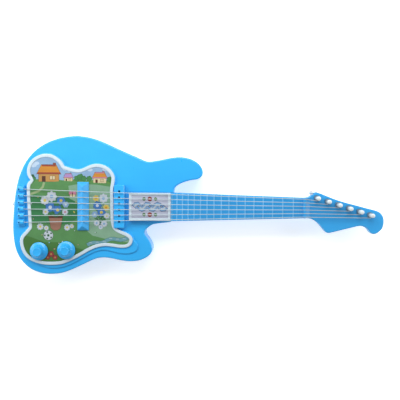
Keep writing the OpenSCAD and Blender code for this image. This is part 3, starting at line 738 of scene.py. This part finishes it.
def right_bunch(pic):
    """Flowers on long stems, with daisies round their root."""
    flowers = (
        (30, 12, 7, "white", "pale_blue", 8),
        (19, 12, 5, "yellow", "orange", 7),
        (21, 1, 6.5, "blue", "white", 7),
        (34, -2, 5, "yellow", "orange", 7),
        (27, -9, 6.5, "blue", "yellow", 7),
        (17, -12, 4.5, "pale_blue", "white", 6),
        (35, -14, 4.5, "white", "yellow", 7),
    )
    for args in flowers:
        flower(pic, *args, root=(26, -30))
    for x, y, r in ((20, -25, 4.5), (31, -26, 5), (26, -31, 3.4)):
        flower(pic, x, y, r, "white", "pale_blue", 8)


def ball(pic, x, y, r):
    """A white ball with a dark patch in the middle and five round it."""
    pic.bloom("white", x, y, r, line="line", line_w=0.5)
    pic.bloom("dark_leaf", x, y, 0.3 * r, sides=5)
    ring_r = 5.2
    for k in range(5):
        a = 2 * math.pi * (k + 0.5) / 5
        pic.bloom("dark_leaf", x + ring_r * math.cos(a), y + ring_r * math.sin(a), 1.5, sides=5)


def scattered_flowers(pic, count=46):
    """Red flowers between the knobs, and small ones wherever the grass is free."""
    for x, y, r in ((-48, -72, 4.6), (-53, -77, 3.4), (-42, -77, 3.8)):
        pic.bloom("red", x, y, r, 6, line="brown")
        pic.bloom("ochre", x, y, 0.35 * r)
    rng = random.Random(7)
    for _ in range(count):
        x, y = rng.uniform(-86, 66), rng.uniform(-80, 28)
        ink = rng.choice(["yellow", "white", "rose", "pale_blue"])
        in_left_bunch = -66 < x < -18 and -40 < y < 24
        in_right_bunch = 12 < x < 40 and -34 < y < 20
        in_brook = y < -50 and x > 2
        if not (in_left_bunch or in_right_bunch or in_brook):
            pic.bloom(ink, x, y, rng.uniform(0.7, 1.2), 5, 0.3, sides=15)
            pic.leaf("dark_leaf", x + 1.2, y - 1.6, 2.4, rng.uniform(50, 130))


def meadow_picture():
    """The pickguard's print, in the CAD's own x and y."""
    pic = Picture()
    land(pic)
    left_bunch(pic)
    butterfly(pic, -16, 19)
    right_bunch(pic)
    ball(pic, -52, -44, 7)
    scattered_flowers(pic)
    return pic


def badge_picture(lo, hi):
    """Three roundels along each long side, and a ribbon wave between them."""
    pic = Picture()
    centre = (lo + hi) / 2 / MM
    row_y = 11.6
    for y in (centre.y + row_y, centre.y - row_y):
        for dx, ink, r in ((-8.5, "leaf", 2.2), (0, "red", 3.1), (8.5, "leaf", 2.2)):
            pic.bloom(ink, centre.x + dx, y, r, line="brown", line_w=0.35)
            pic.bloom("cream", centre.x + dx, y, 0.4 * r, 5, 0.4, sides=20)
    wave = [(centre.x - 23 + 2.3 * k, centre.y + 3.2 * math.sin(k * 0.94)) for k in range(21)]
    pic.band("pale_blue", wave, 3.6, "deep_blue", 0.7)
    pic.band("white", wave, 1.1)
    for dx in (-17, 0, 17):
        pic.bloom("blue", centre.x + dx, centre.y + 0.6, 2.4, 6, 0.3)
        pic.bloom("yellow", centre.x + dx, centre.y + 0.6, 0.8)
    return pic


def printed_sheet(name, node, base_ink, picture):
    """One sheet whose top is divided along the picture's shapes, each in its ink."""
    z0, z1 = (corner.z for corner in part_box(node))
    rims = [[p / MM for p in loop] for loop in outlines(node, z1)]
    loops = rims + [points for points, _ in picture.shapes]
    inks = [base_ink] * len(rims) + [ink for _, ink in picture.shapes]
    points, faces = [], []
    for loop in loops:
        faces.append(list(range(len(points), len(points) + len(loop))))
        points += loop
    merge = 1e-4  # mm
    flat, _, triangles, _, _, owners = geometry.delaunay_2d_cdt(points, [], faces, 0, merge)
    bm = bmesh.new()
    layer = bm.loops.layers.float_color.new("ink")
    top = [bm.verts.new((p.x * MM, p.y * MM, z1)) for p in flat]
    low = [bm.verts.new((p.x * MM, p.y * MM, z0)) for p in flat]
    holes = set(range(1, len(rims)))
    uses = {}
    for corners, owner in zip(triangles, owners):
        if 0 not in owner or holes & set(owner):
            continue
        upper = bm.faces.new([top[k] for k in corners])
        lower = bm.faces.new([low[k] for k in reversed(corners)])
        for face, ink in ((upper, inks[max(owner)]), (lower, "white")):
            for corner in face.loops:
                corner[layer] = (*linear(INK[ink]), 1)
        for a, b in zip(corners, corners[1:] + corners[:1]):
            uses[a, b] = ink
    for a, b in uses:
        if (b, a) not in uses:
            wall = bm.faces.new((top[a], low[a], low[b], top[b]))
            for corner in wall.loops:
                corner[layer] = (*linear(INK["white"]), 1)
    bmesh.ops.delete(bm, geom=[v for v in bm.verts if not v.link_faces], context="VERTS")
    return stand_for(mesh_object(name, bm), node, FILM)


# ---------------------------------------------------------------- bridge, pickup and tailpiece


def bridge():
    """A hipped bar with soft edges."""
    lo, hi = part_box("bridge_bar")
    ridge_w, hip, foot, soft = 0.9 * MM, 6.5 * MM, 1.4 * MM, 0.7 * MM
    sections = (  # half width, how far each end is drawn in, height
        (hi.x - SKIM, SKIM, lo.z),
        (hi.x - SKIM, SKIM, lo.z + foot),
        (ridge_w, hip, hi.z - SKIM),
    )
    bm = bmesh.new()
    rows = []
    for x, drawn_in, z in sections:
        y0, y1 = lo.y + drawn_in, hi.y - drawn_in
        rows.append([bm.verts.new(p) for p in ((x, y1, z), (-x, y1, z), (-x, y0, z), (x, y0, z))])
    for low, high in zip(rows, rows[1:]):
        for k in range(4):
            bm.faces.new((low[k], low[(k + 1) % 4], high[(k + 1) % 4], high[k]))
    bm.faces.new(rows[0][::-1])
    bm.faces.new(rows[-1])
    upper = [e for e in bm.edges if max(v.co.z for v in e.verts) > lo.z + 0.5 * foot]
    bmesh.ops.bevel(bm, geom=upper, offset=soft, segments=4, affect="EDGES", profile=0.5)
    stand_for(copy_of("bridge_bar", "bridge", mesh_object("skin", bm)), "bridge_bar", TRIM_BLUE)


def pickup():
    """A low cover with round corners and a soft upper edge."""
    lo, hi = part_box("pickup_cover")
    corner_r, edge_r = 1.6 * MM, 1.3 * MM
    outline = rounded_rectangle(lo.x + SKIM, hi.x - SKIM, lo.y + SKIM, hi.y - SKIM, corner_r)
    skin = slab(outline, lo.z, hi.z - SKIM, high_r=edge_r)
    stand_for(copy_of("pickup_cover", "pickup", skin), "pickup_cover", BLUE)


def tailpiece():
    """Base plate with six rounded saddles."""
    lo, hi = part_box("tailpiece")
    base_h, corner_r, edge_r = 3 * MM, 1.2 * MM, 0.7 * MM
    saddle_r, axis_depth, pitch, end_r, margin = 4.37 * MM, 4.4 * MM, 9.85 * MM, 1.3 * MM, 0.6 * MM
    base = rounded_rectangle(lo.x + SKIM, hi.x - SKIM, lo.y + SKIM, hi.y - SKIM, corner_r)
    parts = [slab(base, lo.z, lo.z + base_h - SKIM, high_r=edge_r)]
    length = hi.x - lo.x - 2 * margin
    ends = rounded([(0, 0), (saddle_r, 0), (saddle_r, length), (0, length)], end_r, 6)
    for n in SIX:
        start = (lo.x + margin, (3.5 - n) * pitch, hi.z - axis_depth)
        parts.append(lathe("saddle", ends, start, 72, (1, 0, 0)))
    stand_for(copy_of("tailpiece", "tail_saddles", united(parts)), "tailpiece", BLUE)


# ---------------------------------------------------------------- knobs and strap buttons


def knob(n):
    """A flared skirt and a barrel with shallow grip flutes, on its shaft."""
    node = f"knob_{n}"
    lo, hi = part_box(node)
    clip_lo, clip_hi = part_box(f"knob_clip_{n}")
    cap_h, shaft_r, groove_r, chamfer = 12 * MM, 3 * MM, 2.4 * MM, 0.6 * MM
    base = hi.z - cap_h
    shaft = [
        (0, lo.z), (shaft_r - chamfer, lo.z), (shaft_r, lo.z + chamfer), (shaft_r, clip_lo.z),
        (groove_r, clip_lo.z), (groove_r, clip_hi.z), (shaft_r, clip_hi.z), (shaft_r, base),
    ]
    # Radius and height above the base, in mm
    skirt = [(13.1, 0), (13.55, 0.5), (13.3, 1.45), (11.3, 2.55), (9.3, 4.05)]
    barrel = [(8.0, 6.05), (7.35, 8.4), (6.95, 11.0)]
    top = [(6.3, 11.75), (5.2, 11.96), (4.6, 11.7), (0, 11.6)]
    cap = [(r * MM, base + h * MM) for r, h in skirt + barrel + top]
    flute_low, flute_high, flutes, depth = base + 4.5 * MM, base + 11 * MM, 20, 0.035

    def grip(a, h):
        if not flute_low < h < flute_high:
            return 1
        fade = math.sin(math.pi * (h - flute_low) / (flute_high - flute_low)) ** 0.5
        return 1 - depth * fade * (0.5 + 0.5 * math.cos(flutes * a)) ** 2

    made = lathe(f"control_knob_{n}", shaft + rounded(cap, 0.9 * MM, 5), segments=160, ripple=grip)
    made.data.transform(Matrix.Translation((*axis_of(node), 0)))
    stand_for(weighted(made), node, BLUE)


def strap_button(node, seat, axis):
    """A turned button with a waist, a round head and a dished hole for its screw."""
    # Radius and height above the seat, in mm
    waist = [(1.6, 0), (3, 0), (2.65, 1), (2.65, 1.6)]
    head = [(3.72, 2.4), (3.72, 3.2), (3.3, 4), (2.9, 4.28), (2.8, 3.6), (1.6, 3.2)]
    turned = rounded([(r * MM, h * MM) for r, h in waist + head + waist[:1]], 0.5 * MM, 5)
    stand_for(weighted(lathe(f"{node}_turned", turned, seat, 64, axis)), node, WHITE)


def strap_buttons():
    """One button at the body's end and one at the headstock's nape, along their mounts' axes."""
    half_l = 2.15 * MM
    mounts = {m["name"]: m for m in RECORD["mounts"]}
    for node in ("strap_button_body", "strap_button_head"):
        axis = Vector(mounts[f"{node}_end"]["axis"])
        lo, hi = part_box(node)
        strap_button(node, (lo + hi) / 2 - axis * half_l, axis)


# ---------------------------------------------------------------- neck


def neck_face(nut_x, head):
    """Front half with rounded frets and nut, a headstock face, and a painted highlight on the fret crowns.
    """
    badge_lo, badge_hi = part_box("badge_frame")
    nut_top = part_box("neck_front")[1].z
    nut_half_l, nut_edge, slope_l, slope_half_w = 2 * MM, 0.6 * MM, 7.1 * MM, 14.55 * MM
    board_edge, head_edge, nut_round, sunk = 1.1 * MM, 1.6 * MM, 0.8 * MM, 0.2 * MM
    joint_x, heel_half_w, end_half_w = badge_hi.x + MM, badge_hi.y + 0.9 * MM, 15.44 * MM
    upper = [(nut_x + nut_half_l, end_half_w), (joint_x, heel_half_w), (badge_lo.x, heel_half_w)]
    board = [Vector(p) for p in upper] + [Vector((x, -y)) for x, y in reversed(upper)]
    nut_x0, nut_x1, nut_half_w = nut_x - nut_half_l + SKIM, nut_x + nut_half_l - SKIM, end_half_w - HAIR
    nut = rounded_rectangle(nut_x0, nut_x1, -nut_half_w, nut_half_w, nut_edge)
    slope_end = (nut_x + nut_half_l + slope_l, slope_half_w, BOARD - sunk)
    parts = [
        slab(inset(board, HAIR), NECK_SPLIT, BOARD - SKIM, high_r=board_edge),
        slab(inset(head, 1.3 * HAIR), NECK_SPLIT, HEAD - SKIM, high_r=head_edge),
        slab(nut, HEAD, nut_top - SKIM, high_r=nut_round),
        block((nut_x, -slope_half_w, HEAD - MM), slope_end),
    ]
    fret_r = 0.86 * MM
    crowns = []
    for loop in outlines("neck_front", BOARD):
        if len(loop) != 4:
            continue
        crowns.append(sum(p.x for p in loop) / 4)
        half = max(p.y for p in loop) - SKIM
        wire = rounded([(0, 0), (fret_r, 0), (fret_r, 2 * half), (0, 2 * half)], fret_r, 6)
        parts.append(lathe("fret", wire, (crowns[-1], -half, BOARD - sunk), 32, (0, 1, 0)))
    face = copy_of("neck_front", "neck_face", united(parts))
    stand_for(face, "neck_front", NECK_BLUE, FRET_HIGHLIGHT_BLUE)
    # Faces on the fret crowns take the lighter material: a painted highlight on their tops
    for polygon in face.data.polygons:
        x, _, z = polygon.center
        if BOARD + 0.1 * MM < z < BOARD + MM and min(abs(x - c) for c in crowns) < 1.1 * fret_r:
            polygon.material_index = 1


def neck_underside(nut_x, head):
    """Back half, which tapers into the headstock's soft-edged back."""
    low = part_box("neck_back")[0]
    head_back, head_edge, wide = HEAD - 12 * MM, 1.8 * MM, 25 * MM
    taper = [(nut_x - 6 * MM, 15.9 * MM), (nut_x + 2 * MM, 15 * MM), (nut_x + 14 * MM, 14.4 * MM)]
    left = [(low.x - MM, wide), (nut_x - 6.1 * MM, wide)] + taper
    under = [Vector((x, -y)) for x, y in left] + [Vector(p) for p in reversed(left)]
    skin = united([
        slab(anticlockwise(under), low.z - MM, NECK_SPLIT + MM),
        slab(inset(head, HAIR), head_back + SKIM, NECK_SPLIT + MM, low_r=head_edge),
    ])
    stand_for(copy_of("neck_back", "neck_underside", skin), "neck_back", NECK_BLUE)


def neck():
    """Two halves that share the headstock's outline."""
    nut_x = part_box("neck_front")[1].x - 120 * MM
    head = dense([p for p in outlines("neck_back", NECK_SPLIT)[0] if p.x > nut_x + MM])
    neck_face(nut_x, head)
    neck_underside(nut_x, head)


def badge():
    """White tray on the heel, with its printed card."""
    stand_for(soften(copy_of("badge_frame", "badge_tray"), 0.5 * MM, 3), "badge_frame", WHITE)
    printed_sheet("badge_card", "badge_label", "badge", badge_picture(*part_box("badge_label")))


# ---------------------------------------------------------------- pegs and strings


def peg_post(seat, top, hole_z):
    """Shoulder under its seat, clip groove, and a post with a dome at the top."""
    clip_lo, clip_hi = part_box("peg_clip_1")
    foot_r, shoulder_r, groove_r, waist_r, dome = 4.6 * MM, 5.4 * MM, 2.4 * MM, PEG_R - 0.2 * MM, 2.2 * MM
    profile = [
        (0, seat - 3 * MM), (foot_r, seat - 3 * MM), (shoulder_r, seat - 1.4 * MM), (shoulder_r, seat),
        (PEG_R, seat), (PEG_R, clip_lo.z), (groove_r, clip_lo.z), (groove_r, clip_hi.z),
        (PEG_R, clip_hi.z), (PEG_R, HEAD + 0.9 * MM), (waist_r, HEAD + 1.4 * MM),
        (waist_r, hole_z + 1.2 * MM), (PEG_R, hole_z + 2 * MM), (PEG_R, top - dome),
    ]
    profile = rounded(profile, 0.3 * MM, 3)
    for k in range(1, 10):
        a = k * math.pi / 18
        profile.append((PEG_R * math.cos(a), top - dome + dome * math.sin(a)))
    return lathe("tuning_peg", profile, segments=72)


def peg_wing(top, end_z):
    """A flat grip with a waist near its top and a rounded end."""
    half_l, half_w, steps, sides = 7.45 * MM, 1.95 * MM, 26, 48
    waist_at, waist_reach, round_end = 0.22, 0.16, 0.16  # shares of the wing's height
    rings = []
    for k in range(steps + 1):
        t = k / steps
        waist = math.exp(-(((t - waist_at) / waist_reach) ** 2))
        close = math.sqrt(max(0.02, 1 - max(0, (t - 1 + round_end) / round_end) ** 2))
        a = (half_l - 1.3 * MM * waist) * (0.72 + 0.28 * close)
        b = (half_w - 0.3 * MM * waist) * (0.3 + 0.7 * close)
        z = top + t * (end_z - top)
        ring = []
        for j in range(sides):
            turn = 2 * math.pi * (j + 0.5) / sides
            x, y = math.cos(turn), math.sin(turn)
            x, y = math.copysign(abs(x) ** 0.55, x), math.copysign(abs(y) ** 0.75, y)
            ring.append(Vector((x * a, y * b, z)))
        rings.append(ring)
    return loft("wing", rings[::-1])


def pegs():
    """Six equal pegs, each with a hole for its string's end."""
    lo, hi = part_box("peg_1")
    shoulder = HEAD - 12.3 * MM
    hole_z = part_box("string_coil_1")[0].z + 3.65 * MM
    made = peg_post(shoulder, hi.z, hole_z)
    combine(made, peg_wing(shoulder - 2 * MM, lo.z + SKIM), "UNION")
    hole_r, reach = 0.7 * MM, 2 * PEG_R
    bore = [(0, -reach), (hole_r, -reach), (hole_r, reach), (0, reach)]
    drill = lathe("drill", bore, (0, 0, hole_z), 24, (1, 0, 0))
    clean(combine(made, drill, "DIFFERENCE"), 34)
    for n in SIX:
        peg = made if n == 6 else link("tuning_peg", made.data.copy())
        peg.name = f"tuning_peg_{n}"
        if n < 6:
            weighted(peg)
        peg.data.transform(Matrix.Translation((*axis_of(f"string_coil_{n}"), 0)))
        stand_for(peg, f"peg_{n}", PEG_WHITE)


def coils():
    """Four turns of string round each post, level but for a short climb, and an end tucked into it."""
    turns, cad_turns, per_turn, crossing, wire_r = 4, 3, 28, 4, 0.5 * MM
    for n in SIX:
        node = f"string_coil_{n}"
        lo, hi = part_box(node)
        ring_r = (hi.x - lo.x) / 2 - wire_r
        pitch = (hi.z - lo.z - 2 * wire_r) / (cad_turns - 1)
        centre = axis_of(node)
        path = []
        for k in range(turns * per_turn - crossing + 1):
            turn, step = divmod(k, per_turn)
            climb = max(0, step - per_turn + crossing) / crossing
            a = 2 * math.pi * step / per_turn
            z = lo.z + wire_r + pitch * (turn + climb)
            path.append(Vector((centre.x + ring_r * math.cos(a), centre.y + ring_r * math.sin(a), z)))
        path.append(Vector((centre.x + 0.6 * ring_r, centre.y - 0.3 * ring_r, path[-1].z)))
        # The windings take the darker nylon, which paints the shade round the foot of each post
        stand_for(weighted(tube(f"string_winding_{n}", path, wire_r)), node, SHADED_WINDING_STRING)


def small_copies():
    """Strings, screws and clips keep their CAD shapes, with their corners joined and softened."""
    for n in SIX:
        stand_for(copy_of(f"string_{n}", f"taut_string_{n}", smooth_deg=50), f"string_{n}", STRING)
        stand_for(soften(copy_of(f"peg_clip_{n}", f"peg_circlip_{n}"), 0.12 * MM), f"peg_clip_{n}", CLIP)
    for n in (1, 2):
        stand_for(soften(copy_of(f"knob_clip_{n}", f"knob_circlip_{n}"), 0.15 * MM), f"knob_clip_{n}", CLIP)
    for node in NODES:
        if node.endswith("screws"):
            stand_for(soften(copy_of(node, f"{node}_steel"), 0.12 * MM, 1), node, STEEL)


# ---------------------------------------------------------------- stage


def aim(thing, target):
    thing.rotation_euler = (Vector(target) - thing.location).to_track_quat("-Z", "Y").to_euler()


def soft_box(name, place, target, size, watts):
    data = bpy.data.lights.new(name, "AREA")
    data.shape = "RECTANGLE"
    data.size, data.size_y = size
    data.energy = watts
    lamp = link(name, data)
    lamp.location = place
    lamp.visible_camera = False
    aim(lamp, target)


def studio():
    """A pale floor, a camera almost straight above the face, and soft light, strongest from +Y."""
    lo, hi = CAD_BOX
    centre = (lo + hi) / 2
    look = Vector((centre.x + 3.6 * MM, centre.y + 9.7 * MM, FACE))
    height, lean, turn, view_width, floor_half = 0.76, 0.03, 0.49, 0.597, 2.5
    data = bpy.data.cameras.new("camera")
    data.sensor_width = 36
    data.lens = data.sensor_width * math.hypot(height, lean) / view_width
    data.clip_end = 20
    camera = link("camera", data)
    camera.location = look + Vector((0, lean, height))
    camera.rotation_euler = (-math.atan2(lean, height), 0, math.radians(turn))
    bpy.context.scene.camera = camera

    bm = bmesh.new()
    bmesh.ops.create_grid(bm, x_segments=8, y_segments=8, size=floor_half)
    floor = mesh_object("floor", bm)
    floor.location = (centre.x, centre.y, lo.z)
    paper = Surface("pale_paper", Roughness=0.75, Emission_Color=(1, 1, 1, 1), Emission_Strength=0.5)
    paper.feed("Base Color", paper.ramp(paper.noise(3, 3), [(0.3, (0.9,) * 3), (0.7, (0.93,) * 3)]))
    paper.bump((paper.noise(500, 3), 0.1, 0.1 * MM))
    floor.data.materials.append(paper.material)

    soft_box("key", (0.05, 0.36, 0.42), (0.08, 0.0, 0.03), (0.9, 0.25), 3.1)
    soft_box("left", (-0.55, 0.1, 0.32), (-0.05, 0, 0.03), (0.4, 0.5), 1.8)
    soft_box("right", (0.9, 0.12, 0.28), (0.4, 0, 0.03), (0.3, 0.4), 1.7)
    world = bpy.data.worlds.new("studio")
    world.use_nodes = True
    sky = world.node_tree.nodes["Background"]
    sky.inputs["Color"].default_value = (0.96, 0.98, 1, 1)
    sky.inputs["Strength"].default_value = 0.36
    bpy.context.scene.world = world
    bpy.context.scene.view_settings.view_transform = "Standard"


studio()
body_shells()
pickguard()
printed_sheet("pickguard_print", "pickguard_label", "sky", meadow_picture())
bridge()
pickup()
tailpiece()
for n in (1, 2):
    knob(n)
strap_buttons()
neck()
badge()
pegs()
coils()
small_copies()
